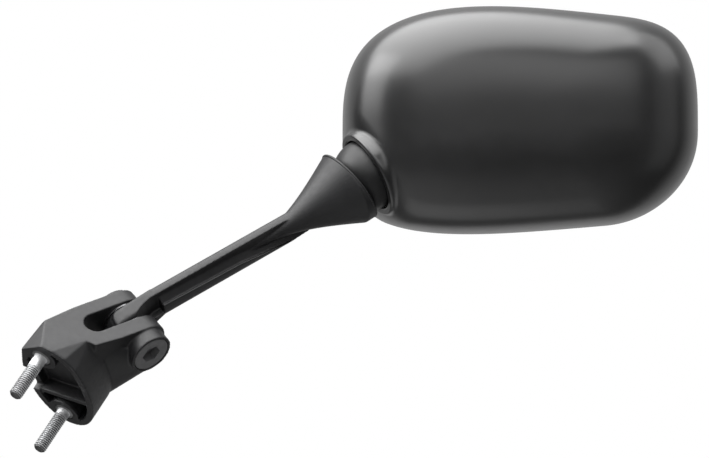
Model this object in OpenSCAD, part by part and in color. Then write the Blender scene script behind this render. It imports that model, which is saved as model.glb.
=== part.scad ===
/* [Mounting foot] */
// distance between the two fixing studs, centre to centre
stud_pitch = 40; // [36:1:44]
// radius of a fixing stud
stud_r = 3; // [2.5:0.25:3]
// length of a stud below the mounting face
stud_reach = 22; // [14:1:30]
// length of the oval foot, along the line of the studs
foot_length = 57.2; // [56:0.2:60]
// width of the oval foot
foot_width = 33.4; // [32:0.2:36]
// height of the oval foot
foot_height = 15.8; // [14:0.2:17]
// depth of the cored pocket in the mounting face
pocket_depth = 8; // [5:0.5:9]
// width of the flat edge left round the pocket
edge_width = 3.4; // [2.5:0.1:4]

/* [Fork and pivot] */
// height of the pivot centre above the mounting face
pin_height = 39.9; // [39:0.1:41]
// sideways offset of the pivot centre from the stud line
pin_offset = 16.6; // [16:0.1:18]
// offset of the pivot centre along the stud line
pin_along = -1.4; // [-2:0.1:0]
// turn of the pivot axis round the foot normal
pin_turn = 7.4; // [5:0.1:10]
// dip of the pivot axis below the level of the foot
pin_dip = 27; // [25:0.5:29]
// lean of the fork round the pivot axis
fork_lean = -16.6; // [-18:0.1:-15]
// width of the slot between the ears
slot_width = 10.7; // [10.2:0.1:11]
// thickness of the ear on the side of the bolt head, without its boss
ear_thick = 8; // [7.5:0.1:8.5]
// thickness of the ear on the far side, without its boss
far_ear_thick = 7.2; // [7:0.1:8]
// reach of the rounded end of an ear beyond the pivot centre
ear_long = 11.2; // [11:0.1:12]
// half the depth of an ear
ear_half = 10.8; // [10.4:0.1:11]
// radius of the round boss on the outside of an ear
boss_r = 10.1; // [9.8:0.1:10.4]
// height of the round boss on the side of the bolt head
head_boss = 6.4; // [5:0.1:7]
// height of the round boss on the far side
far_boss = 1.4; // [1:0.1:2]
// depth of the slot below the pivot centre
slot_depth = 23.6; // [22:0.2:25]
// radius of the pivot bolt shank
bolt_r = 5; // [4:0.25:5]
// radius of the pivot bolt head
bolt_head_r = 8.6; // [8:0.1:8.8]
// height of the pivot bolt head
bolt_head_h = 6; // [5:0.1:6.4]
// distance across flats of the key socket in the bolt head
socket_flats = 8; // [6:0.5:8.5]

/* [Arm] */
// distance from the pivot centre to the ball centre
arm_reach = 136; // [130:0.5:142]
// lean of the arm round the pivot axis as drawn
arm_lean = 1.6; // [0:0.2:4]
// radius of the eye at the pivot end
eye_r = 10.8; // [10.4:0.1:11.2]
// half the width of the stem across the pivot axis
stem_half_deep = 7; // [6:0.1:7.6]
// half the width of the stem along the pivot axis
stem_half_wide = 5.2; // [4.8:0.1:5.4]
// slope of the stem against the line from the pivot to the ball
stem_tilt = 4.5; // [3:0.1:6]
// distance from the pivot centre to the flat pad on the eye
pad_top = 10.7; // [10.4:0.1:11]
// radius of the mouth of the cup
cup_r = 18.5; // [18:0.1:19]
// length of the flared part of the arm
flare_length = 36; // [32:0.5:40]
// distance from the ball centre back to the mouth of the cup
mouth_back = 11; // [10:0.1:12]

/* [Ball joint] */
// radius of the dome that the head turns on
dome_r = 17; // [16.5:0.1:17.2]
// radius of the threaded neck stud
neck_stud_r = 3; // [2.5:0.1:3]
// thickness of each friction ring
ring_thick = 0.8; // [0.6:0.1:0.8]
// thickness of the cupped socket wall
pan_thick = 2.5; // [2.2:0.1:2.6]
// outer radius of the collar round the neck opening
collar_r = 21.2; // [21:0.1:22]

/* [Head] */
// width of the head across its face
head_w = 170.5; // [165:0.5:176]
// height of the head across its face
head_h = 108.5; // [105:0.5:112]
// depth of the head from the face to the crown of the back
head_deep = 60; // [58:0.5:62]
// wall thickness of the shell
wall = 2.6; // [2.2:0.1:3]
// squareness of the back: 2 is an ellipsoid, higher is boxier
back_power = 3.4; // [3:0.1:3.8]
// radius of curvature of the mirror glass
glass_curve = 1200; // [1000:50:2000]
// thickness of the mirror glass
glass_thick = 2.2; // [1.8:0.1:2.4]
// thickness of the foam pad behind the glass
pad_thick = 0.8; // [0.6:0.1:1]

/* [Hidden] */
$fn = 64;
// clearance of a thread or press fit, on the radius
fit_gap = 0.05;
// clearance between the curved layers of the ball joint
layer_gap = 0.3;
// centre of the oval foot from the middle of the studs
foot_shift = [2.9, -0.6];
half_slot = slot_width / 2;
ear_out = half_slot + ear_thick;
far_out = half_slot + far_ear_thick;
head_side = ear_out + head_boss;
far_side = -far_out - far_boss;
// pivot washers stand in the slot on both sides of the eye
washer_thick = 0.8;
washer_r = 9.6;
eye_half = half_slot - washer_thick - 0.2;
bush_r = bolt_r + 1.5;
// the back of the fork spreads this far by the depth of its root
root_drop = 26;
root_front = 11.2;
root_back = 12;
// the front face of the fork runs on down to the foot
front_drop = 42;
// the web and the body of the fork stand in from the edge of the foot
foot_step = 1.7;
// the stem starts clear of the ends of the ears
stem_start = ear_long + 1.8;
stem_shift = -0.2;
stem_rise = -3.9;
stem_end = arm_reach - 31;
// pad on the eye: its end, the corners that round it and the round end seen from the front
pad_end = 7;
pad_round = 3.5;
pad_edge = 2;
pad_nose = [2.1, 0.3];
pad_nose_r = 6.5;
// one side of the stem is cut back to a wall, down to a ledge that sinks towards the flare
wall_at = 0.7;
ledge_start = 17.5;
ledge_rise = -5.7;
ledge_slope = 6.8;
ledge_turn = 60;
ledge_dive = 14.4;
// floor of the recess between the pad and the ledge
recess_floor = 0.2;
// the eye keeps this radius round its bore beside the pad
eye_core_r = 8.6;
// the flare widens like a trumpet from this radius
flare_neck_r = 4.6;
flare_bend = 20;
flare_rim = flare_length - 2.4;
land_r = 7.4;
stud_collar_r = 4.6;
stud_collar_h = 2;
stud_root = 11;
stud_root_r = stud_r + 0.4;
// layers of the ball joint, each radius from the ball centre
liner_in = dome_r + layer_gap;
liner_out = liner_in + ring_thick;
pan_in = liner_out + layer_gap;
pan_out = pan_in + pan_thick;
seat_ring_in = pan_out + layer_gap;
seat_ring_out = seat_ring_in + ring_thick;
seat_in = seat_ring_out + layer_gap;
seat_out = seat_in + 2.5;
seat_rim_r = 15.5;
collar_bore = dome_r + 0.6;
lip_top = 2;
lip_front = -1.2;
pan_hole_r = 11.6;
// parts stacked on the neck stud above the seat washer
seat_top = seat_out + 1.8;
disc_thick = 0.9;
disc_step = 1.7;
disc_in = neck_stud_r + 0.2;
disc_out = 8;
discs_top = seat_top + 3 * disc_step;
top_washer_h = 1.2;
nut_floor = discs_top + top_washer_h;
nut_h = 5;
nut_flats = 10;
// tilts of the neck, the head and the collar
cup_tilt = [7.9, -4.5, 0];
head_turn = [121.5, -53.1, 6.6];
collar_turn = [0, 108, 28.7];
// the outline of the head is drawn from the ball centre
face_mid = [head_w * 0.424, head_h * 0.2375];
widest = [head_w * 0.6648, head_h * 0.186];
left_part = head_w * 0.74;
right_part = head_w * 0.257;
top_part = head_h * 0.5213;
low_part = head_h * 0.4134;
face_taper = 0.3213;
face_z = -32;
crown_z = face_z + head_deep;
glass_z = face_z + 0.5;
outline_steps = 80;
back_steps = 9;
// screw columns in the shell: across and up
columns = [for (c = [[0.633, 0.424], [0.657, 0.074], [0.258, 0.553], [0.34, -0.074]])
    [head_w * c[0], head_h * c[1]]];
column_r = 4;
column_foot = -22.5;
carrier_thick = 2.2;
screw_r = 1.5;
screw_head_r = 3;
screw_head_h = 2;
screw_seat = -25.4;
screw_end = -12;

// frames, each one placed from the one before it
module at_pin() {
    translate([pin_offset, pin_along, pin_height])
        rotate([0, pin_dip, pin_turn])
            children();
}

module at_fork() {
    at_pin()
        rotate([fork_lean, 0, 0])
            children();
}

module at_arm() {
    at_pin()
        rotate([arm_lean, 0, 0])
            children();
}

module at_neck() {
    at_arm()
        translate([0, 0, arm_reach])
            rotate(cup_tilt)
                children();
}

module at_head() {
    at_arm()
        translate([0, 0, arm_reach])
            rotate(head_turn)
                children();
}

module to_collar() {
    rotate(collar_turn)
        children();
}

// a cylinder along the first axis, from one distance to another
module along_pin(from, to, r) {
    translate([from, 0, 0])
        rotate([0, 90, 0])
            cylinder(h = to - from, r = r);
}

// points of an oval with a chosen squareness
function oval(half_x, half_y, power, count) = [
    for (i = [0 : count - 1])
        let (a = 360 * i / count, c = cos(a), s = sin(a),
            r = pow(pow(abs(c), power) + pow(abs(s), power), -1 / power))
        [half_x * r * c, half_y * r * s]
];

// one point of the outline of the head at a given angle
function face_point(a) =
    let (c = cos(a), s = sin(a),
        w = c >= 0 ? right_part : left_part,
        h = s >= 0 ? top_part : low_part,
        n = c >= 0 ? (s >= 0 ? 3.46 : 2.07) : (s >= 0 ? 2.96 : 3.53),
        r = pow(pow(abs(c) / w, n) + pow(abs(s) / h, n), -1 / n),
        x = r * c)
    [widest[0] + x, widest[1] + r * s * (1 - face_taper * x / head_w)];

// the outline drawn in from the edge by a given amount
function face_outline(inset) = [
    for (i = [0 : outline_steps - 1])
        let (p = face_point(360 * i / outline_steps))
        [face_mid[0] + (p[0] - face_mid[0]) * (1 - 2 * inset / head_w),
            face_mid[1] + (p[1] - face_mid[1]) * (1 - 2 * inset / head_h)]
];

// size of the section and its height at each step up the back
function back_step(j) =
    let (e = 90 * j / back_steps, r = pow(pow(cos(e), back_power) + pow(sin(e), back_power), -1 / back_power))
    [r * cos(e), r * sin(e)];

// closed dome over the outline: drawn in by inset, starting at start_z
module dome_over(inset, start_z) {
    ring = face_outline(inset);
    rise = head_deep - inset;
    steps = [for (j = [0 : back_steps - 1]) back_step(j)];
    side = [for (j = [0 : back_steps - 1]) for (p = ring)
        [face_mid[0] + (p[0] - face_mid[0]) * steps[j][0],
            face_mid[1] + (p[1] - face_mid[1]) * steps[j][0],
            j == 0 ? start_z : face_z + rise * steps[j][1]]];
    top = len(side);
    n = outline_steps;
    polyhedron(
        points = concat(side, [[face_mid[0], face_mid[1], face_z + rise]]),
        faces = concat(
            [[for (i = [0 : n - 1]) i]],
            [for (j = [0 : back_steps - 2]) for (i = [0 : n - 1])
                [j * n + i, (j + 1) * n + i, (j + 1) * n + (i + 1) % n]],
            [for (j = [0 : back_steps - 2]) for (i = [0 : n - 1])
                [j * n + i, (j + 1) * n + (i + 1) % n, j * n + (i + 1) % n]],
            [for (i = [0 : n - 1]) [(back_steps - 1) * n + i, top, (back_steps - 1) * n + (i + 1) % n]]));
}

// half of space below a given height, for cutting
module below(z) {
    translate([-150, -150, z - 200])
        cube([300, 300, 200]);
}

// outline of the foot: an oval with a few flats by its front end, each one an angle and a swell
foot_power = 2.1;
foot_flats = [[-135, 1.05], [-91, 1], [-71, 0.99], [-52, 1.03], [-35, 1.04]];
function foot_ring(inset) = [
    for (f = concat(foot_flats, [for (a = [-25 : 5 : 215]) [a, 1]]))
        let (c = cos(f[0]), s = sin(f[0]),
            r = f[1] * pow(pow(abs(c), foot_power) + pow(abs(s), foot_power), -1 / foot_power))
        [foot_shift[0] + (foot_width / 2 - inset) * r * c, foot_shift[1] + (foot_length / 2 - inset) * r * s]
];

module foot_oval(inset, from, to) {
    translate([0, 0, from])
        linear_extrude(height = to - from)
            polygon(foot_ring(inset));
}

// the top of the foot, which has no flats and ends at the front face of the fork
module foot_top(inset) {
    intersection() {
        translate([foot_shift[0], foot_shift[1], foot_height - 1.2])
            linear_extrude(height = 1.2)
                polygon(oval(foot_width / 2 - inset, foot_length / 2 - inset, foot_power, 72));
        at_fork() translate([-80, -root_front, -80]) cube([160, 120, 120]);
    }
}

// both ears and the block below them, which stands on the foot
module fork_block() {
    intersection() {
        // seen along the pin
        at_fork()
            translate([-far_out, 0, 0])
                rotate([90, 0, 90])
                    linear_extrude(height = far_out + ear_out)
                        union() {
                            polygon(oval(ear_half, ear_long, 2.3, 64));
                            polygon([[-ear_half, 0], [-root_front, -root_drop], [-root_front, -front_drop],
                                [root_back, -front_drop], [root_back, -root_drop], [ear_half, 0]]);
                        }
        // seen from the front: the sides draw in towards the foot
        at_fork()
            translate([0, 40, 0])
                rotate([90, 0, 0])
                    linear_extrude(height = 80)
                        polygon([[-far_out, 30], [-far_out, -22], [1.4 - far_out, -front_drop],
                            [ear_out - 1.8, -front_drop], [ear_out - 1.2, -25], [ear_out, -13], [ear_out, 30]]);
        translate([-100, -100, foot_height - 1]) cube([200, 200, 100]);
    }
}

module mount_base() {
    color([0.09, 0.09, 0.1])
    difference() {
        union() {
            // the wall of the foot leans in by the front face of the fork
            hull() {
                foot_oval(0, 0, 1);
                foot_top(0);
            }
            // the body that widens from the fork on to the foot
            hull() {
                foot_top(foot_step);
                at_fork() translate([-far_out + 0.5, -root_front + 0.5, -root_drop])
                    cube([far_out + ear_out - 2, root_front + root_back - 0.5, 1]);
            }
            // web from the boss of the bolt head down to the foot
            hull() {
                foot_top(foot_step);
                at_fork() translate([0, 5.2, 0]) along_pin(6, head_side - 0.8, 4.6);
            }
            fork_block();
            at_fork() along_pin(far_side, head_side, boss_r);
        }
        // slot between the ears
        at_fork()
            translate([0, 40, 0])
                rotate([90, 0, 0])
                    linear_extrude(height = 80)
                        union() {
                            translate([0, half_slot - slot_depth])
                                circle(r = half_slot);
                            translate([-half_slot, half_slot - slot_depth])
                                square([slot_width, slot_depth + 40]);
                        }
        // pivot bore, threaded on the far side, and the seat of the bolt head
        at_fork() along_pin(far_side - 1, head_side + 1, bolt_r + fit_gap);
        at_fork() along_pin(head_side - bolt_head_h - 0.3, head_side + 1, bolt_head_r + 0.3);
        // stud bores and the seats of their collars
        for (side = [-1, 1]) translate([0, side * stud_pitch / 2, -1]) {
            cylinder(h = stud_root + 1.2, r = stud_root_r + fit_gap);
            cylinder(h = stud_collar_h + 1, r = stud_collar_r + fit_gap);
        }
        // cored pocket, open on the inner side of the foot
        difference() {
            union() {
                foot_oval(edge_width, -1, pocket_depth);
                translate([-foot_width, -8, -1]) cube([foot_width, 16, 4.6]);
            }
            for (side = [-1, 1]) translate([0, side * stud_pitch / 2, -2])
                cylinder(h = 20, r = land_r);
            translate([-14, 8.2, 1.2]) cube([32, 2.4, 20]);
        }
        // small locating hole in the edge
        translate([-8.6, -14.6, -1]) cylinder(h = 5, r = 0.8);
    }
}

module fixing_stud(side) {
    color([0.75, 0.76, 0.78])
    translate([0, side * stud_pitch / 2, 0]) {
        translate([0, 0, -stud_reach + 1]) cylinder(h = stud_reach, r = stud_r);
        translate([0, 0, -stud_reach]) cylinder(h = 1, r1 = stud_r - 0.8, r2 = stud_r);
        cylinder(h = stud_collar_h, r = stud_collar_r);
        cylinder(h = stud_root, r = stud_root_r);
    }
}

module stud_upper() {
    fixing_stud(-1);
}

module stud_lower() {
    fixing_stud(1);
}

module pivot_bolt() {
    color([0.16, 0.16, 0.17])
    at_fork() difference() {
        union() {
            along_pin(far_side + 0.6, head_side - bolt_head_h, bolt_r);
            along_pin(head_side - bolt_head_h - 0.3, head_side - 0.3, bolt_head_r);
        }
        translate([head_side - bolt_head_h + 1.5, 0, 0])
            rotate([0, 90, 0])
                cylinder(h = bolt_head_h, r = socket_flats / 2 / cos(30), $fn = 6);
    }
}

module pivot_washer(side) {
    color([0.6, 0.6, 0.62])
    at_fork() difference() {
        along_pin(side > 0 ? half_slot - washer_thick : -half_slot, side > 0 ? half_slot : washer_thick - half_slot,
            washer_r);
        along_pin(-half_slot - 1, half_slot + 1, bolt_r + fit_gap);
    }
}

module pivot_washer_upper() {
    pivot_washer(-1);
}

module pivot_washer_lower() {
    pivot_washer(1);
}

module pivot_bush() {
    color([0.72, 0.55, 0.3])
    at_arm() difference() {
        along_pin(-eye_half, eye_half, bush_r);
        along_pin(-eye_half - 1, eye_half + 1, bolt_r + fit_gap);
    }
}

// pad on the eye and tongue to the stem, rounded both seen from the side and seen from the front
module eye_pad() {
    intersection() {
        translate([-eye_half, 0, 0])
            rotate([90, 0, 90])
                linear_extrude(height = 2 * eye_half)
                    union() {
                        translate([pad_round - pad_top, pad_round - pad_end]) circle(r = pad_round);
                        translate([-pad_top, pad_round - pad_end]) square([pad_top, 20]);
                        translate([pad_round - pad_top, -pad_end]) square([pad_top - pad_round, 20]);
                        polygon([[-1, 0], [9.5, 4.5], [5.6, 9.2], [3.3, 13], [1.6, 17.5], [-1, 17.5]]);
                    }
        translate([0, 20, 0])
            rotate([90, 0, 0])
                linear_extrude(height = 40)
                    union() {
                        translate(pad_nose) circle(r = pad_nose_r);
                        translate([-eye_half, pad_nose[1]]) square([2 * eye_half, 20]);
                    }
        translate([0, 0, -20])
            linear_extrude(height = 60)
                union() {
                    for (side = [-1, 1]) translate([side * (eye_half - pad_edge), pad_edge - pad_top])
                        circle(r = pad_edge);
                    translate([pad_edge - eye_half, -pad_top]) square([2 * (eye_half - pad_edge), 10]);
                    translate([-eye_half, pad_edge - pad_top]) square([2 * eye_half, 30]);
                }
    }
}

// recess between the pad and the start of the ledge
module root_recess() {
    difference() {
        intersection() {
            rotate([90, 0, 0])
                linear_extrude(height = 30)
                    polygon([[6, 2], [4.6, 3.4], [3.3, 5.2], [2.1, 7.6], [1.2, 10.4], [wall_at, 13.5],
                        [wall_at, 20], [20, 20], [20, 2]]);
            translate([0, -30, 0])
                cube([20, 30 + recess_floor, ledge_start]);
        }
        along_pin(-20, 20, eye_core_r);
    }
}

// takes away the side of the stem in front of a ledge, with a sloped channel at the foot of the wall
module ledge_cut(from, rise, slope, lead, length) {
    translate([wall_at, rise, from])
        rotate([-slope, 0, 0])
            translate([0, 0, -lead])
                linear_extrude(height = length + lead)
                    polygon([[0, -30], [0, -2.4], [2.8, 0.9], [3.4, 0], [20, 0], [20, -30]]);
}

module stem() {
    turn_rise = ledge_rise + (ledge_turn - ledge_start) * tan(ledge_slope);
    difference() {
        translate([stem_shift, stem_rise, stem_start])
            rotate([-stem_tilt, 0, 0])
                linear_extrude(height = stem_end - stem_start)
                    polygon(oval(stem_half_wide, stem_half_deep, 2.8, 48));
        ledge_cut(ledge_start, ledge_rise, ledge_slope, 1, ledge_turn - ledge_start + 6);
        ledge_cut(ledge_turn, turn_rise, ledge_dive, 5, stem_end - ledge_turn + 10);
    }
}

// radius of the flare at a height above its start
function flare_bow(z) = (z + sqrt(z * z + flare_bend * flare_bend)) / 2;
function flare_r(z) = flare_neck_r + (cup_r - flare_neck_r) * (flare_bow(z) - flare_bow(0)) /
    (flare_bow(flare_rim) - flare_bow(0));

module flare() {
    low = -28;
    steps = 14;
    rotate_extrude()
        polygon(concat([[0, low]],
            [for (i = [0 : steps]) let (z = low + (flare_rim - low) * i / steps) [flare_r(z), z]],
            [[cup_r, flare_length + 6], [0, flare_length + 6]]));
}

module arm() {
    color([0.1, 0.1, 0.11])
    at_arm() difference() {
        union() {
            // eye with rounded edges
            rotate([0, 90, 0])
                rotate_extrude()
                    polygon([[0, -eye_half], [eye_r - 1.4, -eye_half], [eye_r - 0.5, -eye_half + 0.9],
                        [eye_r, -eye_half + 2.4], [eye_r, eye_half - 2.4], [eye_r - 0.5, eye_half - 0.9],
                        [eye_r - 1.4, eye_half], [0, eye_half]]);
            eye_pad();
            stem();
            translate([0, 0, arm_reach - mouth_back - flare_length]) flare();
        }
        root_recess();
        // mouth of the cup
        translate([0, 0, arm_reach])
            rotate(cup_tilt) {
                translate([-50, -50, -mouth_back]) cube([100, 100, 60]);
                translate([0, 0, -mouth_back - 2.5]) cylinder(h = 10, r = 13.7);
                translate([0, 0, -mouth_back - 2.5 - 5.1]) cylinder(h = 10, r = 9 + fit_gap);
                translate([0, 0, -mouth_back - 22]) cylinder(h = 20, r = neck_stud_r + fit_gap);
            }
        along_pin(-20, 20, bush_r + fit_gap);
    }
}

module neck_dome() {
    floor = -mouth_back - 2.5;
    color([0.1, 0.1, 0.1])
    at_neck() difference() {
        union() {
            intersection() {
                sphere(r = dome_r);
                translate([-20, -20, floor]) cube([40, 40, 13.5 - floor]);
            }
            translate([0, 0, floor - 5]) cylinder(h = 8, r = 9);
        }
        translate([0, 0, -30]) cylinder(h = 60, r = neck_stud_r + fit_gap);
    }
}

module neck_stud() {
    color([0.62, 0.63, 0.65])
    at_neck() {
        translate([0, 0, -mouth_back - 21.5]) cylinder(h = nut_floor + nut_h + 1 + mouth_back + 21.5, r = neck_stud_r);
        translate([0, 0, 13.5]) cylinder(h = 2.4, r = 5.4);
    }
}

// layer of a ball between two radii, kept between two heights
module ball_layer(r_in, r_out, low, high) {
    difference() {
        intersection() {
            sphere(r = r_out);
            translate([-40, -40, low]) cube([80, 80, high - low]);
        }
        sphere(r = r_in);
    }
}

module ball_liner() {
    color([0.85, 0.84, 0.8])
    at_head() to_collar()
        ball_layer(liner_in, liner_out, liner_in * cos(68), liner_in * cos(42));
}

module seat_ring() {
    color([0.85, 0.84, 0.8])
    at_head() to_collar()
        ball_layer(seat_ring_in, seat_ring_out, seat_ring_in * cos(56), seat_ring_in * cos(36));
}

module seat_washer() {
    color([0.55, 0.56, 0.58])
    at_neck() difference() {
        union() {
            intersection() {
                ball_layer(seat_in, seat_out, seat_in / 2, seat_out);
                cylinder(h = seat_top, r = seat_rim_r);
            }
            translate([0, 0, seat_in - 1]) cylinder(h = seat_top - seat_in + 1, r = 9);
        }
        sphere(r = seat_in);
        translate([0, 0, 10]) cylinder(h = 30, r = neck_stud_r + 0.2);
    }
}

// one coned spring disc, lying on its wide edge or on its narrow one
module disc_spring(step, wide_down) {
    low = seat_top + step * disc_step;
    rise = disc_step - disc_thick;
    color([0.5, 0.5, 0.52])
    at_neck()
        translate([0, 0, low])
            rotate_extrude()
                polygon(wide_down ?
                    [[disc_out, 0], [disc_out, disc_thick], [disc_in, disc_step], [disc_in, rise]] :
                    [[disc_in, 0], [disc_out, rise], [disc_out, disc_step], [disc_in, disc_thick]]);
}

module disc_spring_a() {
    disc_spring(0, true);
}

module disc_spring_b() {
    disc_spring(1, false);
}

module disc_spring_c() {
    disc_spring(2, true);
}

module top_washer() {
    color([0.6, 0.6, 0.62])
    at_neck() difference() {
        translate([0, 0, discs_top]) cylinder(h = top_washer_h, r = 7);
        translate([0, 0, discs_top - 1]) cylinder(h = top_washer_h + 2, r = neck_stud_r + 0.2);
    }
}

module lock_nut() {
    color([0.7, 0.7, 0.72])
    at_neck() translate([0, 0, nut_floor]) difference() {
        union() {
            cylinder(h = nut_h - 1.4, r = nut_flats / 2 / cos(30), $fn = 6);
            cylinder(h = nut_h, r = nut_flats / 2 - 0.4);
        }
        translate([0, 0, -1]) cylinder(h = nut_h + 2, r = neck_stud_r + fit_gap);
    }
}

module housing_shell() {
    color([0.12, 0.12, 0.13])
    at_head() difference() {
        union() {
            difference() {
                dome_over(0, face_z);
                difference() {
                    dome_over(wall, face_z - 1);
                    to_collar() below(wall);
                }
                to_collar() below(0);
            }
            intersection() {
                dome_over(1, face_z);
                for (c = columns) translate([c[0], c[1], column_foot])
                    cylinder(h = head_deep, r = column_r);
            }
            to_collar() {
                translate([0, 0, lip_front]) cylinder(h = lip_top + 2 - lip_front, r = collar_r);
                difference() {
                    sphere(r = pan_out);
                    below(0.5);
                }
            }
        }
        to_collar() {
            translate([0, 0, -10]) cylinder(h = 10 + lip_top + 0.1, r = collar_bore);
            difference() {
                sphere(r = pan_in);
                below(lip_top);
            }
            translate([0, 0, 5]) cylinder(h = 20, r = pan_hole_r);
        }
        for (c = columns) translate([c[0], c[1], column_foot - 1])
            cylinder(h = screw_end - column_foot + 2, r = screw_r + fit_gap);
    }
}

// layer of a large ball inside the outline, between two depths behind the front of the glass
module curved_sheet(inset, from, to) {
    intersection() {
        translate([0, 0, face_z - 5])
            linear_extrude(height = 20)
                polygon(face_outline(inset));
        translate([face_mid[0], face_mid[1], glass_z + glass_curve])
            difference() {
                sphere(r = glass_curve - from);
                sphere(r = glass_curve - to);
            }
        at_corner() below(0);
    }
}

// everything that lies inside the neck face of the shell
module at_corner() {
    to_collar()
        translate([0, 0, wall + 0.5])
            rotate([180, 0, 0])
                children();
}

module mirror_glass() {
    color([0.75, 0.78, 0.8])
    at_head() curved_sheet(wall + 0.5, 0, glass_thick);
}

module foam_pad() {
    color([0.2, 0.2, 0.2])
    at_head() curved_sheet(wall + 2, glass_thick, glass_thick + pad_thick);
}

module glass_carrier() {
    behind = glass_thick + pad_thick;
    front = glass_z + behind;
    color([0.15, 0.15, 0.15])
    at_head() difference() {
        union() {
            curved_sheet(wall + 0.8, behind, behind + carrier_thick);
            for (c = columns) translate([c[0], c[1], front + 1.4])
                cylinder(h = column_foot - front - 1.4, r = 5);
        }
        // hollow that the clamp of the ball joint swings in
        sphere(r = nut_floor + nut_h + 1.3);
        for (c = columns) translate([c[0], c[1], 0]) {
            translate([0, 0, front - 2]) cylinder(h = screw_seat - front + 2, r = screw_head_r + 0.3);
            translate([0, 0, front]) cylinder(h = 20, r = screw_r + 0.2);
        }
    }
}

module carrier_screw(i) {
    color([0.65, 0.65, 0.67])
    at_head()
        translate([columns[i][0], columns[i][1], 0]) {
            translate([0, 0, screw_seat - screw_head_h]) cylinder(h = screw_head_h, r = screw_head_r);
            translate([0, 0, screw_seat - 0.5]) cylinder(h = screw_end - screw_seat + 0.5, r = screw_r);
        }
}

module carrier_screw_a() {
    carrier_screw(0);
}

module carrier_screw_b() {
    carrier_screw(1);
}

module carrier_screw_c() {
    carrier_screw(2);
}

module carrier_screw_d() {
    carrier_screw(3);
}

mount_base();
stud_upper();
stud_lower();
pivot_bolt();
pivot_washer_upper();
pivot_washer_lower();
pivot_bush();
arm();
neck_dome();
neck_stud();
ball_liner();
seat_ring();
seat_washer();
disc_spring_a();
disc_spring_b();
disc_spring_c();
top_washer();
lock_nut();
housing_shell();
glass_carrier();
carrier_screw_a();
carrier_screw_b();
carrier_screw_c();
carrier_screw_d();
foam_pad();
mirror_glass();
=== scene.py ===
"""Looks of the motorcycle mirror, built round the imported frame. Named lengths are in millimetres."""
import math

import bpy
import numpy as np
from mathutils import Matrix, Vector


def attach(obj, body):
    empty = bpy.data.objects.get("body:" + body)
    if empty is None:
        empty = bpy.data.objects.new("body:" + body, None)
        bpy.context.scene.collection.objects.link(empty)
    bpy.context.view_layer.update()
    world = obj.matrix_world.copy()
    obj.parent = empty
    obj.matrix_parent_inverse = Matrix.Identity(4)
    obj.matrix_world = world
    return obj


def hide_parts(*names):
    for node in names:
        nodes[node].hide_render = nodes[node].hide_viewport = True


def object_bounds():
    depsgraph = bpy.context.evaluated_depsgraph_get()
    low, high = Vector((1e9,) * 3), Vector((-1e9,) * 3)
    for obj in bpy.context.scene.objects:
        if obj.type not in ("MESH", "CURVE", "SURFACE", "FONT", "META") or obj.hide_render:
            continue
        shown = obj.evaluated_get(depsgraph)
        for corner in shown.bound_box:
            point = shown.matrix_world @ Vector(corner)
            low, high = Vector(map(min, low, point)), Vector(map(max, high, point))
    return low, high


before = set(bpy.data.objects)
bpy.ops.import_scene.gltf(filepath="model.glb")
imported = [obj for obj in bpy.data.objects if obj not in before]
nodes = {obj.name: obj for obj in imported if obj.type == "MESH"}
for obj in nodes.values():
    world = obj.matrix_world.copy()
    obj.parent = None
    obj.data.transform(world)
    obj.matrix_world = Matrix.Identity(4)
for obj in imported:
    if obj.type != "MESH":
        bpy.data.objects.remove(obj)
cad_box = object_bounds()
MM = 0.001

# driving sizes of the part, as in its source
PIN_AT = np.array([16.6, -1.4, 39.9])
PIN_TURN = (0, 27, 7.4)
ARM_LEAN = 1.6
ARM_REACH = 136
CUP_TILT = (7.9, -4.5, 0)
HEAD_TURN = (121.5, -53.1, 6.6)
COLLAR_TURN = (0, 108, 28.7)
MOUTH_BACK = 11
CUP_R = 18.5
STUD_PITCH = 40
STUD_R = 3
STUD_REACH = 22
THREAD_DEEP = 0.6
HEAD_W = 170.5
HEAD_H = 108.5
HEAD_DEEP = 60
WALL = 2.6
BACK_POWER = 3.4
FACE_Z = -32
GLASS_Z = FACE_Z + 0.5
GLASS_CURVE = 1200
GLASS_THICK = 2.2
GLASS_GAP = 0.5
FACE_MID = np.array([HEAD_W * 0.424, HEAD_H * 0.2375])
WIDEST = np.array([HEAD_W * 0.6648, HEAD_H * 0.186])
LEFT_PART = HEAD_W * 0.74
RIGHT_PART = HEAD_W * 0.257
TOP_PART = HEAD_H * 0.5213
LOW_PART = HEAD_H * 0.4134
FACE_TAPER = 0.3213
RIGHT_TOP_POWER = 3.46
RIGHT_LOW_POWER = 2.07
LEFT_TOP_POWER = 2.96
LEFT_LOW_POWER = 3.53
SKIN_INSET = 0.5
COLLAR_R = 21.2
COLLAR_BORE = 17.6
LIP_FRONT = -1.2
LIP_TOP = 2
COLLAR_DEEP = 12
PAN_IN = 18.4
PAN_OUT = 20.9
PAN_HOLE_R = 11.6
COLUMNS = [(0.633, 0.424), (0.657, 0.074), (0.258, 0.553), (0.34, -0.074)]
COLUMN_R = 4
COLUMN_FOOT = -22.5
COLUMN_BORE = 1.55
SCREW_END = -12
# the ring that ends a turned form on its axis is this small
AXIS_R = 0.01

# camera of the photograph: place, line of sight, up and lens
CAMERA_AT = Vector((0.52545, -0.80501, -0.44860))
LOOK = Vector((-0.403809, 0.744414, 0.531776))
UP = Vector((-0.244340, -0.647919, 0.721456))
RIGHT = LOOK.cross(UP)
LENS = 119.87
SENSOR = 36

# finishes: range of a noise over which tone and roughness drift, and the range and share of bare crests
TONE_DRIFT = (0.35, 0.65)
ROUGH_DRIFT = (0.3, 0.7)
CREST_RANGE = (0.55, 0.68)
CREST_SHARE = 0.6

# blends of the shell's skin: back into neck face, the same inside, and collar into neck face
OUTER_CREASE = 7
INNER_CREASE = 2
COLLAR_CREASE = 1.8
COLLAR_ROUND = 1.0

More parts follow.
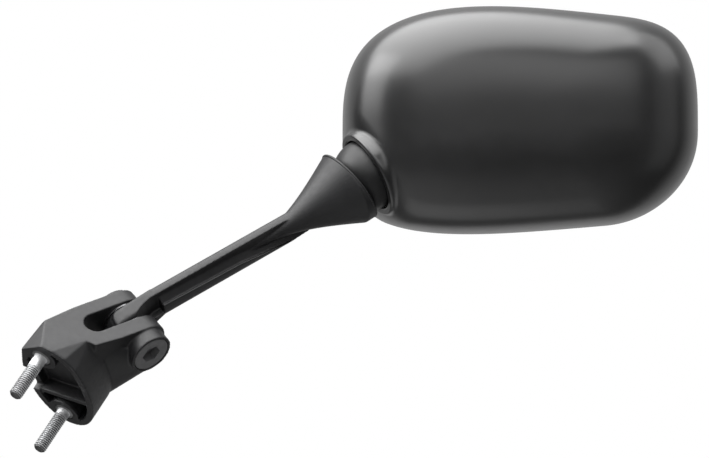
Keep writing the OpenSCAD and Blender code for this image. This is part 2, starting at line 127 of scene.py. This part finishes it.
# studio, in metres: floor, what the camera sees of its glow, and the surroundings behind the object
FLOOR_Z = -1.8
FLOOR_HALF = 60.0
FLOOR_GLOW = 0.6
BEHIND_RAMP = (("From Min", -0.1), ("From Max", 0.5), ("To Min", 0.02), ("To Max", 0.4))
DULL_SHARE = 0.35
# soft boxes: way as shares of right, up and line of sight; distance, width, height, radiance, spread
LAMPS = [
    ("key_box", (-0.3, 0.93, -0.13), 1.2, 2.3, 2.4, 5.4, 130),
    ("left_box", (-0.9, 0.43, -0.14), 1.3, 1.0, 0.9, 3.2, 120),
    ("right_box", (0.72, 0.68, -0.1), 1.3, 0.9, 1.1, 2.0, 120),
    ("front_box", (0.1, 0.38, -0.94), 1.7, 2.2, 0.8, 1.45, 110),
    ("under_box", (-0.2, -0.98, 0.1), 1.3, 1.2, 1.0, 0.4, 110),
    ("side_box", (0.9, 0.1, -0.35), 1.5, 0.9, 1.8, 0.4, 110),
]


def turn(x, y, z):
    """Turn by x, then y, then z degrees about the fixed axes."""
    cx, cy, cz = np.cos(np.radians((x, y, z)))
    sx, sy, sz = np.sin(np.radians((x, y, z)))
    about_x = np.array([[1, 0, 0], [0, cx, -sx], [0, sx, cx]])
    about_y = np.array([[cy, 0, sy], [0, 1, 0], [-sy, 0, cy]])
    about_z = np.array([[cz, -sz, 0], [sz, cz, 0], [0, 0, 1]])
    return about_z @ about_y @ about_x


ARM = turn(*PIN_TURN) @ turn(ARM_LEAN, 0, 0)
BALL_AT = PIN_AT + ARM @ np.array([0, 0, ARM_REACH])
HEAD = ARM @ turn(*HEAD_TURN)
TO_COLLAR = turn(*COLLAR_TURN)
CUP_FACE = turn(*CUP_TILT)[:, 2]


# materials

def links(owner):
    """Nodes and links of a material or world."""
    tree = owner.node_tree
    return tree.nodes, tree.links


def noise(mat, scale, detail):
    """A noise in the piece's own coordinates, scale in features per metre."""
    made, link = links(mat)
    tex = made.new("ShaderNodeTexNoise")
    tex.inputs["Scale"].default_value = scale
    tex.inputs["Detail"].default_value = detail
    link.new(made.new("ShaderNodeTexCoord").outputs["Object"], tex.inputs["Vector"])
    return tex.outputs["Fac"]


def maths(owner, operation, one, two=0.0):
    """The result of an operation on one or two values, each of them a number or a socket."""
    made, link = links(owner)
    node = made.new("ShaderNodeMath")
    node.operation = operation
    for socket, value in zip(node.inputs, (one, two)):
        if isinstance(value, (int, float)):
            socket.default_value = value
        else:
            link.new(value, socket)
    return node.outputs["Value"]


def span(mat, value, low, high, to_low, to_high):
    """Maps a value from one range to another."""
    made, link = links(mat)
    node = made.new("ShaderNodeMapRange")
    link.new(value, node.inputs["Value"])
    for name, number in (("From Min", low), ("From Max", high), ("To Min", to_low), ("To Max", to_high)):
        node.inputs[name].default_value = number
    return node.outputs["Result"]


def mixed(mat, share, one, two):
    """Mixes two colours by a share."""
    made, link = links(mat)
    node = made.new("ShaderNodeMix")
    node.data_type = "RGBA"
    link.new(share, node.inputs["Factor"])
    for name, colour in (("A", one), ("B", two)):
        socket = [s for s in node.inputs if s.name == name and s.type == "RGBA"][0]
        if isinstance(colour, tuple):
            socket.default_value = (*colour, 1)
        else:
            link.new(colour, socket)
    return [s for s in node.outputs if s.type == "RGBA"][0]


def bump(mat, height, strength, depth_mm):
    """Bump from a height socket."""
    made, link = links(mat)
    node = made.new("ShaderNodeBump")
    node.inputs["Strength"].default_value = strength
    node.inputs["Distance"].default_value = depth_mm * MM
    link.new(height, node.inputs["Height"])
    return node.outputs["Normal"]


def finish_of(name, colour, other, rough, metal=0.0, cloud=60, grain=1500, grain_depth=0.01,
              grain_strength=0.2, coat=None, edge=None):
    """A surface whose colour drifts between two tones, with uneven roughness and a fine grain."""
    mat = bpy.data.materials.new(name)
    mat.use_nodes = True
    made, link = links(mat)
    shader = made["Principled BSDF"]
    shader.inputs["Metallic"].default_value = metal
    if coat is not None:
        shader.inputs["Coat Weight"].default_value = coat[0]
        shader.inputs["Coat Roughness"].default_value = coat[1]
    tone = mixed(mat, span(mat, noise(mat, cloud, 3.0), *TONE_DRIFT, 0, 1), colour, other)
    if edge is not None:
        crest = made.new("ShaderNodeNewGeometry").outputs["Pointiness"]
        tone = mixed(mat, span(mat, crest, *CREST_RANGE, 0, CREST_SHARE), tone, edge)
    link.new(tone, shader.inputs["Base Color"])
    link.new(span(mat, noise(mat, cloud * 4, 4.0), *ROUGH_DRIFT, *rough), shader.inputs["Roughness"])
    link.new(bump(mat, noise(mat, grain, 2.0), grain_strength, grain_depth), shader.inputs["Normal"])
    return mat


def stud_finish():
    """Zinc-plated stud, with painted shade in the grooves of its thread and its collar darkened."""
    mat = finish_of("stud_zinc", (0.80, 0.81, 0.82), (0.62, 0.62, 0.63), (0.50, 0.60), metal=1.0, cloud=90,
                    grain=1200, grain_depth=0.005, grain_strength=0.08)
    made, link = links(mat)
    shader = made["Principled BSDF"]
    plain_tone = shader.inputs["Base Color"].links[0].from_socket
    apart = made.new("ShaderNodeSeparateXYZ")
    link.new(made.new("ShaderNodeTexCoord").outputs["Object"], apart.inputs["Vector"])
    across = apart.outputs["X"]
    along = maths(mat, "SUBTRACT", maths(mat, "ABSOLUTE", apart.outputs["Y"]), STUD_PITCH / 2 * MM)
    squares = maths(mat, "ADD", maths(mat, "MULTIPLY", across, across), maths(mat, "MULTIPLY", along, along))
    radius = maths(mat, "SQRT", squares)
    groove_shade_share, flange_share = 0.9, 0.75
    # painted shade: the thread's colour darkens toward the floor of its grooves
    groove = span(mat, radius, (STUD_R - THREAD_DEEP) * MM, (STUD_R - 0.1) * MM, groove_shade_share, 0)
    # the collar and root, wider than the thread, are darkened as well
    flange = span(mat, radius, (STUD_R + 0.1) * MM, (STUD_R + 0.5) * MM, 0, flange_share)
    groove_shade_and_collar_tone = (0.07, 0.07, 0.07)
    link.new(mixed(mat, maths(mat, "MAXIMUM", groove, flange), plain_tone, groove_shade_and_collar_tone), shader.inputs["Base Color"])
    return mat


shell_black = finish_of("shell_black", (0.006, 0.006, 0.0063), (0.008, 0.008, 0.0084), (0.31, 0.36),
                        cloud=35, grain=2600, grain_depth=0.006, coat=(0.9, 0.25))
cast_black = finish_of("cast_black", (0.012, 0.012, 0.013), (0.017, 0.017, 0.018), (0.42, 0.52),
                       cloud=120, grain=900, grain_depth=0.03, grain_strength=0.3, edge=(0.032, 0.032, 0.033))
dome_black = finish_of("dome_black", (0.009, 0.009, 0.0095), (0.012, 0.012, 0.0125), (0.40, 0.48),
                       cloud=90, grain=2200, grain_depth=0.006)
bolt_black = finish_of("bolt_black", (0.16, 0.16, 0.163), (0.19, 0.19, 0.193), (0.4, 0.52),
                       metal=0.2, cloud=300, grain=2500)
stud_zinc = stud_finish()
zinc_steel = finish_of("zinc_steel", (0.62, 0.63, 0.64), (0.45, 0.45, 0.45), (0.2, 0.38),
                       metal=1.0, cloud=420, grain=2600, grain_depth=0.02, grain_strength=0.3)
washer_steel = finish_of("washer_steel", (0.42, 0.42, 0.43), (0.32, 0.32, 0.33), (0.25, 0.45),
                         metal=1.0, cloud=300, grain=2400)
bronze = finish_of("bronze", (0.5, 0.32, 0.15), (0.38, 0.23, 0.1), (0.3, 0.45),
                   metal=1.0, cloud=300, grain=2200)
ring_white = finish_of("ring_white", (0.72, 0.71, 0.67), (0.66, 0.65, 0.6), (0.35, 0.5),
                       cloud=200, grain=1800, grain_depth=0.008)
carrier_grey = finish_of("carrier_grey", (0.03, 0.03, 0.03), (0.04, 0.04, 0.04), (0.45, 0.6),
                         cloud=80, grain_depth=0.02)
foam_dark = finish_of("foam_dark", (0.035, 0.035, 0.035), (0.06, 0.06, 0.06), (0.8, 0.95),
                      cloud=500, grain=1200, grain_depth=0.1, grain_strength=0.8)
glass_mirror = finish_of("mirror_finish", (0.80, 0.83, 0.84), (0.77, 0.81, 0.82), (0.02, 0.05),
                         metal=1.0, cloud=25, grain=300, grain_depth=0.001, grain_strength=0.05,
                         coat=(0.6, 0.01))

FINISH = {
    "mount_base": cast_black, "stud_upper": stud_zinc, "stud_lower": stud_zinc, "pivot_bolt": bolt_black,
    "pivot_washer_upper": washer_steel, "pivot_washer_lower": washer_steel, "pivot_bush": bronze,
    "arm": cast_black, "neck_dome": dome_black, "neck_stud": zinc_steel, "ball_liner": ring_white,
    "seat_ring": ring_white, "seat_washer": washer_steel, "disc_spring_a": washer_steel,
    "disc_spring_b": washer_steel, "disc_spring_c": washer_steel, "top_washer": washer_steel,
    "lock_nut": zinc_steel, "housing_shell": shell_black, "glass_carrier": carrier_grey,
    "carrier_screw_a": zinc_steel, "carrier_screw_b": zinc_steel, "carrier_screw_c": zinc_steel,
    "carrier_screw_d": zinc_steel, "foam_pad": foam_dark, "mirror_glass": glass_mirror,
}
for node_name, finish in FINISH.items():
    data = nodes[node_name].data
    data.materials.clear()
    data.materials.append(finish)


# shapes

def add_piece(name, points, faces, finish, body, slot, *stands_for):
    """A smooth mesh piece from points in millimetres, riding on a body."""
    mesh = bpy.data.meshes.new(name)
    mesh.from_pydata((np.asarray(points) * MM).tolist(), [], faces)
    mesh.polygons.foreach_set("use_smooth", [True] * len(mesh.polygons))
    mesh.materials.append(finish)
    piece = bpy.data.objects.new(name, mesh)
    bpy.context.scene.collection.objects.link(piece)
    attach(piece, body)
    if stands_for:
        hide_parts(*stands_for)


def ring_faces(rings, count, start=0, closed=False):
    """Quads between rings of count points each, the last joined to the first where closed."""
    faces = []
    pairs = [(j, j + 1) for j in range(rings - 1)]
    if closed:
        pairs.append((rings - 1, 0))
    for lower, upper in pairs:
        low = start + lower * count
        high = start + upper * count
        for i in range(count):
            after = (i + 1) % count
            faces.append((low + i, low + after, high + after, high + i))
    return faces


def level_ring(radius, height, turns):
    """A ring about the z axis."""
    return np.stack([radius * np.cos(turns), radius * np.sin(turns), np.full_like(turns, height)], 1)


def face_outline(count, inset):
    """The outline of the head about its middle, drawn in by inset."""
    turns = np.linspace(0, 2 * np.pi, count, endpoint=False)
    across, up = np.cos(turns), np.sin(turns)
    wide = np.where(across >= 0, RIGHT_PART, LEFT_PART)
    tall = np.where(up >= 0, TOP_PART, LOW_PART)
    right_power = np.where(up >= 0, RIGHT_TOP_POWER, RIGHT_LOW_POWER)
    left_power = np.where(up >= 0, LEFT_TOP_POWER, LEFT_LOW_POWER)
    power = np.where(across >= 0, right_power, left_power)
    reach = ((np.abs(across) / wide) ** power + (np.abs(up) / tall) ** power) ** (-1 / power)
    x = reach * across
    y = reach * up * (1 - FACE_TAPER * x / HEAD_W)
    shrink = 1 - 2 * inset / np.array([HEAD_W, HEAD_H])
    return (WIDEST + np.stack([x, y], 1) - FACE_MID) * shrink


def edge_reach(ways, inset):
    """How far the outline of the face lies from its middle in each direction."""
    outline = face_outline(2000, inset)
    angle = np.arctan2(outline[:, 1], outline[:, 0])
    order = np.argsort(angle)
    reach = np.linalg.norm(outline, axis=1)
    return np.interp(np.arctan2(ways[:, 1], ways[:, 0]), angle[order], reach[order], period=2 * np.pi)


def dome_reach(ways, inset):
    """How far each direction from the middle of the face goes before it leaves the dome."""
    edge = edge_reach(ways, inset)
    flat = np.hypot(ways[:, 0], ways[:, 1])
    rise = np.maximum(ways[:, 2], 0)
    deep = HEAD_DEEP - inset
    return ((flat / edge) ** BACK_POWER + (rise / deep) ** BACK_POWER) ** (-1 / BACK_POWER)


def soft_min(one, other, width):
    """The lower of two values, with a rounded corner of the given width."""
    near = np.maximum(width - np.abs(one - other), 0) / width
    return np.minimum(one, other) - near * near * width / 4


def skin_reach(ways, inset, floor, crease, with_collar):
    """Distance along each direction to the skin of the shell, cut square to the collar at floor."""
    dome = dome_reach(ways, inset)
    start = np.array([*FACE_MID, FACE_Z]) @ TO_COLLAR
    way = ways @ TO_COLLAR

    def outside(reach):
        at = start + way * reach[:, None]
        body = -soft_min(-(reach - dome), -(floor - at[:, 2]), crease)
        if not with_collar:
            return body
        ends_out = np.maximum(LIP_FRONT - at[:, 2], at[:, 2] - COLLAR_DEEP)
        over = np.stack([np.hypot(at[:, 0], at[:, 1]) - COLLAR_R, ends_out], 1) + COLLAR_ROUND
        collar = np.minimum(over.max(1), 0) + np.linalg.norm(np.maximum(over, 0), axis=1) - COLLAR_ROUND
        return soft_min(body, collar, COLLAR_CREASE)

    # halve the stretch that holds the skin until it is far below a micrometre
    halvings = 40
    low, high = dome * 0.2, dome * 1.2 + COLLAR_DEEP
    for _ in range(halvings):
        mid = (low + high) / 2
        out = outside(mid) > 0
        high = np.where(out, mid, high)
        low = np.where(out, low, mid)
    return (low + high) / 2


def to_disc(ways):
    """Direction to a point of the unit disc, the rim of the face being its edge."""
    ways = ways / np.linalg.norm(ways, axis=1)[:, None]
    return ways[:, :2] / (1 + ways[:, 2:3])


def from_disc(spots):
    """Point of the unit disc back to a direction."""
    square = (spots ** 2).sum(1)[:, None]
    return np.concatenate([2 * spots, 1 - square], 1) / (1 + square)


def collar_ring(radius, height, turns):
    """A ring about the collar axis, in the head's own frame."""
    return level_ring(radius, height, turns) @ TO_COLLAR.T


def rim_ends(loop):
    """Where lines from the middle of a loop through its points meet the edge of the disc."""
    mid = loop.mean(0)
    way = (loop - mid) / np.linalg.norm(loop - mid, axis=1)[:, None]
    lean = way @ mid
    return mid + way * (-lean + np.sqrt(lean * lean - mid @ mid + 1))[:, None]


def head_shell():
    """The moulded shell as one closed skin, from its collar round to its bore, with its screw columns."""
    count = 360
    collar_rings, back_rings, inside_rings, socket_rings = 34, 76, 27, 12
    collar_spread, bore_round, rim_round = 5.5, 0.9, 0.6
    almost_rim = 0.9995
    turns = np.linspace(0, 2 * np.pi, count, endpoint=False)
    eye = np.array([*FACE_MID, FACE_Z])
    rings = []

    def cast(ways, inset, floor, crease, with_collar):
        ways = ways / np.linalg.norm(ways, axis=1)[:, None]
        rings.append(eye + ways * skin_reach(ways, inset, floor, crease, with_collar)[:, None])

    # outside: round rings at the collar, then rings that grow to the rim, wider apart on the way
    for radius in np.linspace(COLLAR_BORE + bore_round, COLLAR_R + collar_spread, collar_rings):
        height = LIP_FRONT if radius < COLLAR_R else 0
        cast(collar_ring(radius, height, turns) - eye, SKIN_INSET, 0, OUTER_CREASE, True)
    first = to_disc(rings[-1] - eye)
    ends = rim_ends(first)
    for t in np.linspace(0, 1, back_rings)[1:]:
        share = 0.18 * t + 0.82 * t * t
        cast(from_disc(first + (ends - first) * share * almost_rim), SKIN_INSET, 0, OUTER_CREASE, True)
    # rim of the face, as steps inward and shares of its rounding
    edge = rings.pop()
    rim = WALL - SKIN_INSET
    for drop, lift in ((0, 1), (0.08, 0.62), (0.3, 0.25), (0.6, 0), (rim - 0.3, 0), (rim, 0.5)):
        shrink = 1 - 2 * drop / np.array([HEAD_W, HEAD_H])
        flat = FACE_MID + (edge[:, :2] - FACE_MID) * shrink
        rings.append(np.column_stack([flat, np.full(count, FACE_Z + lift * rim_round)]))
    # inside
    mouth = to_disc(collar_ring(np.sqrt(PAN_OUT ** 2 - WALL ** 2), WALL, turns) - eye)
    start = ends * almost_rim
    for t in np.linspace(0, 1, inside_rings)[1:]:
        share = 1 - (1 - t) ** 1.6
        cast(from_disc(start + (mouth - start) * share), WALL, WALL, INNER_CREASE, False)
    # socket
    for polar in np.linspace(math.acos(WALL / PAN_OUT), math.asin(PAN_HOLE_R / PAN_OUT), socket_rings):
        rings.append(collar_ring(PAN_OUT * math.sin(polar), PAN_OUT * math.cos(polar), turns))
    for polar in np.linspace(math.asin(PAN_HOLE_R / PAN_IN), math.acos(LIP_TOP / PAN_IN), socket_rings):
        rings.append(collar_ring(PAN_IN * math.sin(polar), PAN_IN * math.cos(polar), turns))
    # bore and its rounded mouth
    rings.append(collar_ring(COLLAR_BORE, LIP_TOP, turns))
    for swing in np.radians((0, 22, 45, 68)):
        rings.append(collar_ring(COLLAR_BORE + bore_round * (1 - math.cos(swing)),
                                 LIP_FRONT + bore_round * (1 - math.sin(swing)), turns))
    points = np.concatenate(rings)
    faces = ring_faces(len(rings), count, closed=True)
    # screw columns, each one a tube that ends inside the wall
    sunk, column_count = 1, 40
    around = np.linspace(0, 2 * np.pi, column_count, endpoint=False)
    circle = np.stack([np.cos(around), np.sin(around)], 1)
    for across, up in COLUMNS:
        spot = np.array([HEAD_W * across, HEAD_H * up])
        side = spot + circle * COLUMN_R - FACE_MID
        share = np.linalg.norm(side, axis=1) / edge_reach(side, sunk)
        top = FACE_Z + (HEAD_DEEP - sunk) * (1 - share ** BACK_POWER) ** (1 / BACK_POWER)
        tube = []
        for radius, height in ((AXIS_R, SCREW_END), (COLUMN_BORE, SCREW_END), (COLUMN_BORE, COLUMN_FOOT),
                               (COLUMN_R, COLUMN_FOOT)):
            tube.append(np.column_stack([spot + circle * radius, np.full(column_count, float(height))]))
        tube.append(np.column_stack([spot + circle * COLUMN_R, top]))
        faces += ring_faces(len(tube), column_count, start=len(points))
        points = np.concatenate([points, *tube])
    placed = BALL_AT + points @ HEAD.T
    add_piece("head_shell", placed, faces, shell_black, "head", "shell_plastic", "housing_shell")


def glass_sheet():
    """The convex mirror glass with ground edges, cut short where the neck face of the shell passes."""
    count, edge_round = 240, 0.35
    outline = face_outline(count, WALL + GLASS_GAP)
    rim = np.linalg.norm(outline, axis=1)
    way = outline / rim[:, None]
    neck_face = TO_COLLAR[:, 2]
    lean = way @ neck_face[:2]
    # the front rises toward the rim, so the cut settles in a few rounds
    cut_rounds = 3
    for _ in range(cut_rounds):
        front = GLASS_Z + rim ** 2 / (2 * GLASS_CURVE)
        base = neck_face[:2] @ FACE_MID + neck_face[2] * (front + GLASS_THICK / 2) - WALL - GLASS_GAP
        rim = np.where(lean < 0, np.minimum(rim, base / np.maximum(-lean, 1e-6)), rim)
    # share of the reach, step inward from it, and depth below the front
    centre = 0.0002
    profile = [(share, 0, 0.0) for share in (centre, 0.1, 0.3, 0.5, 0.7, 0.85, 0.95)]
    profile += [(1, edge_round + 0.3, 0), (1, edge_round, 0), (1, 0.1, 0.1), (1, 0, edge_round)]
    profile += [(1, 0, GLASS_THICK - edge_round), (1, edge_round, GLASS_THICK), (0.5, 0, GLASS_THICK),
                (centre, 0, GLASS_THICK)]
    rings = []
    for share, inward, depth in profile:
        reach = rim * share - inward
        rise = GLASS_CURVE - np.sqrt((GLASS_CURVE - depth) ** 2 - reach ** 2)
        rings.append(np.column_stack([FACE_MID + way * reach[:, None], GLASS_Z + rise]))
    placed = BALL_AT + np.concatenate(rings) @ HEAD.T
    faces = ring_faces(len(profile), count)
    add_piece("mirror_sheet", placed, faces, glass_mirror, "head", "mirror", "mirror_glass")


def cast_piece(name, node, body, voxel, rounds):
    """A casting with the soft edges and corners that its mould gives, made from the CAD solid."""
    mesh = nodes[node].data.copy()
    mesh.name = name
    piece = bpy.data.objects.new(name, mesh)
    bpy.context.scene.collection.objects.link(piece)
    grid = piece.modifiers.new("grid", "REMESH")
    grid.mode = "VOXEL"
    grid.voxel_size = voxel * MM
    grid.use_smooth_shade = True
    soften = piece.modifiers.new("soften", "SMOOTH")
    soften.factor = 0.5
    soften.iterations = rounds
    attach(piece, body)
    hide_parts(node)


def threaded_stud(name, node, side, plain):
    """A fixing stud with a rolled thread, a plain shank and a chamfered tip."""
    pitch, count, per_turn = 1.0, 48, 20
    flank_slope, flank_start = 2.4, 0.1
    tip_run, tip_chamfer = 0.3, 0.9
    low = -STUD_REACH
    high = -plain
    steps = int((high - low) / pitch * per_turn)
    turns = np.linspace(0, 2 * np.pi, count, endpoint=False)
    rings = [level_ring(AXIS_R, low, turns)]
    for z in np.linspace(low, high, steps):
        phase = (z / pitch - turns / (2 * np.pi)) % 1.0
        groove = np.clip(np.abs(phase - 0.5) * flank_slope - flank_start, 0, 1)
        run_out = np.clip((high - z) / pitch, 0, 1) * np.clip((z - low) / tip_run, 0, 1)
        crest = min(STUD_R, STUD_R - tip_chamfer + (z - low))
        radius = np.minimum(STUD_R - THREAD_DEEP * groove * run_out, crest)
        rings.append(level_ring(radius, z, turns))
    collar_r, collar_h, root_r, root_h = 4.6, 2.0, 3.4, 11.0
    shank = [(STUD_R, high + 0.05), (STUD_R, -0.05)]
    collar = [(collar_r - 0.4, 0), (collar_r, 0.3), (collar_r, collar_h)]
    root = [(root_r, collar_h), (root_r, root_h), (AXIS_R, root_h)]
    for radius, height in shank + collar + root:
        rings.append(level_ring(radius, height, turns))
    points = np.concatenate(rings) + np.array([0, side * STUD_PITCH / 2, 0])
    faces = ring_faces(len(rings), count)
    add_piece(name, points, faces, stud_zinc, "foot", "stud_steel", node)


def cup_bead():
    """Rolled rim round the mouth of the cup, which is cut square to the neck."""
    count, around = 120, 14
    bead_r, overhang, lift = 0.65, 0.15, 1.1
    mid_r = CUP_R - bead_r + overhang
    turns = np.linspace(0, 2 * np.pi, count, endpoint=False)
    rings = []
    for swing in np.linspace(0, 2 * np.pi, around, endpoint=False):
        reach = mid_r + bead_r * math.cos(swing)
        across, up = reach * np.cos(turns), reach * np.sin(turns)
        mouth = (-MOUTH_BACK - bead_r - CUP_FACE[0] * across - CUP_FACE[1] * up) / CUP_FACE[2]
        rings.append(np.stack([across, up, mouth + bead_r * (lift + math.sin(swing))], 1))
    placed = BALL_AT + np.concatenate(rings) @ ARM.T
    faces = ring_faces(around, count, closed=True)
    add_piece("cup_bead", placed, faces, cast_black, "arm_body", "cast_black")


head_shell()
glass_sheet()
cup_bead()
cast_piece("cast_base", "mount_base", "foot", voxel=0.42, rounds=4)
cast_piece("cast_arm", "arm", "arm_body", voxel=0.38, rounds=4)
threaded_stud("threaded_stud_upper", "stud_upper", side=-1, plain=5.5)
threaded_stud("threaded_stud_lower", "stud_lower", side=1, plain=2.5)


# studio

def lamp(name, way, distance, wide, high, radiance, spread, target):
    """A soft box with a grid, aimed at the target: its radiance seen straight on, its spread in degrees."""
    back = (RIGHT * way[0] + UP * way[1] + LOOK * way[2]).normalized()
    light = bpy.data.lights.new(name, "AREA")
    light.shape = "RECTANGLE"
    light.size = wide
    light.size_y = high
    light.spread = math.radians(spread)
    held_in = 1 - light.spread / 2 / math.tan(light.spread / 2)
    light.energy = radiance * wide * high * math.pi * held_in
    box = bpy.data.objects.new(name, light)
    box.location = target + back * distance
    box.rotation_mode = "QUATERNION"
    near_upright = 0.95
    across = UP.cross(back) if abs(UP.dot(back)) < near_upright else RIGHT.copy()
    across.normalize()
    up = back.cross(across)
    box.rotation_quaternion = Matrix((across, up, back)).transposed().to_quaternion()
    bpy.context.scene.collection.objects.link(box)


def studio():
    """Camera, soft boxes, white surroundings and a pale floor."""
    scene = bpy.context.scene
    camera = bpy.data.cameras.new("camera")
    camera.lens = LENS
    camera.sensor_width = SENSOR
    camera.clip_start = 0.05
    camera.clip_end = 20
    eye = bpy.data.objects.new("camera", camera)
    eye.matrix_world = Matrix.Translation(CAMERA_AT) @ Matrix((RIGHT, UP, -LOOK)).transposed().to_4x4()
    scene.collection.objects.link(eye)
    scene.camera = eye

    target = (cad_box[0] + cad_box[1]) / 2
    for name, way, distance, wide, high, radiance, spread in LAMPS:
        lamp(name, way, distance, wide, high, radiance, spread, target)

    world = bpy.data.worlds.new("world")
    scene.world = world
    world.use_nodes = True
    made, link = links(world)
    ground = made["Background"]
    coords = made.new("ShaderNodeTexCoord")
    dot = made.new("ShaderNodeVectorMath")
    dot.operation = "DOT_PRODUCT"
    dot.inputs[1].default_value = LOOK
    link.new(coords.outputs["Generated"], dot.inputs[0])
    behind = made.new("ShaderNodeMapRange")
    behind.interpolation_type = "SMOOTHSTEP"
    for key, number in BEHIND_RAMP:
        behind.inputs[key].default_value = number
    link.new(dot.outputs["Value"], behind.inputs["Value"])
    path = made.new("ShaderNodeLightPath")
    mirrored = maths(world, "MAXIMUM", path.outputs["Is Glossy Ray"], DULL_SHARE)
    spill = maths(world, "MULTIPLY", behind.outputs["Result"], mirrored)
    link.new(maths(world, "MAXIMUM", path.outputs["Is Camera Ray"], spill), ground.inputs["Strength"])
    ground.inputs["Color"].default_value = (1, 1, 1, 1)

    floor_mesh = bpy.data.meshes.new("floor")
    sides = [(-1, -1), (1, -1), (1, 1), (-1, 1)]
    corners = [(x * FLOOR_HALF, y * FLOOR_HALF, FLOOR_Z) for x, y in sides]
    floor_mesh.from_pydata(corners, [], [(0, 1, 2, 3)])
    floor = bpy.data.objects.new("floor", floor_mesh)
    scene.collection.objects.link(floor)
    pale = bpy.data.materials.new("floor_pale")
    pale.use_nodes = True
    pale_nodes, pale_links = links(pale)
    shader = pale_nodes["Principled BSDF"]
    tone = mixed(pale, noise(pale, 1.5, 2.0), (0.78, 0.78, 0.78), (0.8, 0.8, 0.8))
    pale_links.new(tone, shader.inputs["Base Color"])
    shader.inputs["Roughness"].default_value = 0.9
    # seen straight by the camera the floor is as pale as the surroundings, and its shadows stay
    shader.inputs["Emission Color"].default_value = (1, 1, 1, 1)
    glow = maths(pale, "MULTIPLY", pale_nodes.new("ShaderNodeLightPath").outputs["Is Camera Ray"], FLOOR_GLOW)
    pale_links.new(glow, shader.inputs["Emission Strength"])
    floor_mesh.materials.append(pale)
    scene.view_settings.view_transform = "Standard"


studio()
